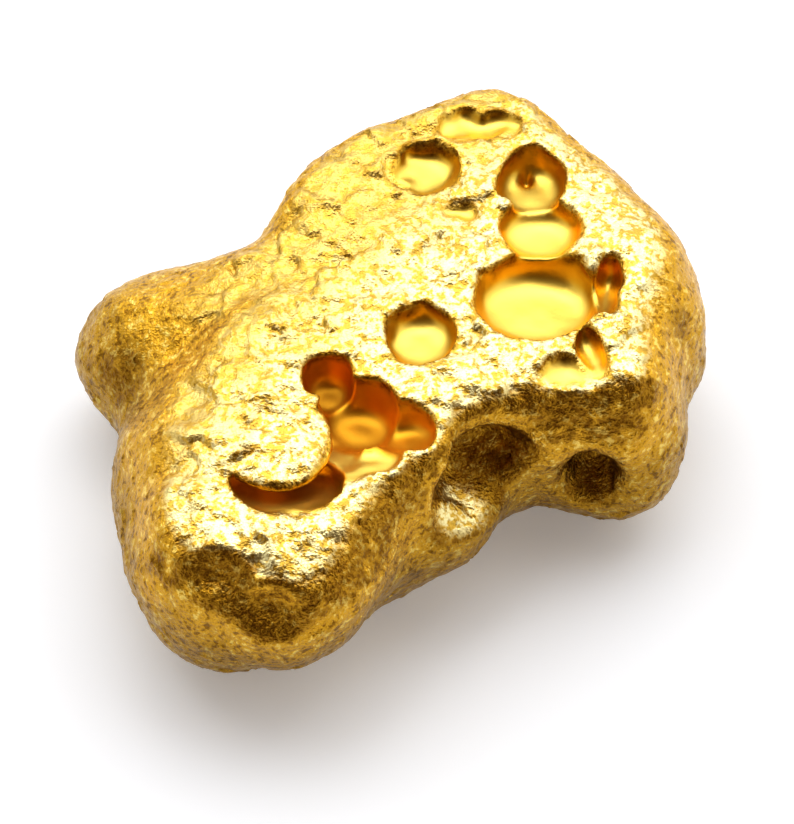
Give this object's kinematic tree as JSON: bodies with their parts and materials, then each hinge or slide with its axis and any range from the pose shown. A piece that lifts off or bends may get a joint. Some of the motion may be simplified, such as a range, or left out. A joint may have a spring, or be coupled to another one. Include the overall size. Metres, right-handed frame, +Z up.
{
  "type": "gold nugget",
  "caption": "Water-worn lump of native gold with a pitted, nearly flat top, rounded lobes and a worn flat to rest on.",
  "frame": {"origin": "on the resting flat, under the middle of the nugget's box", "axes": "+Z up from the resting flat to the pitted top, +X from the nose towards the head's right side, -Y towards the leg"},
  "size_m": [0.016, 0.0162, 0.006],
  "materials": {
    "gold": "natural gold, finely hammered and worn on top, grainy on the sides, smooth and bright in the pits"
  },
  "bodies": {
    "root": {"nugget": "gold"}
  },
  "joints": []
}
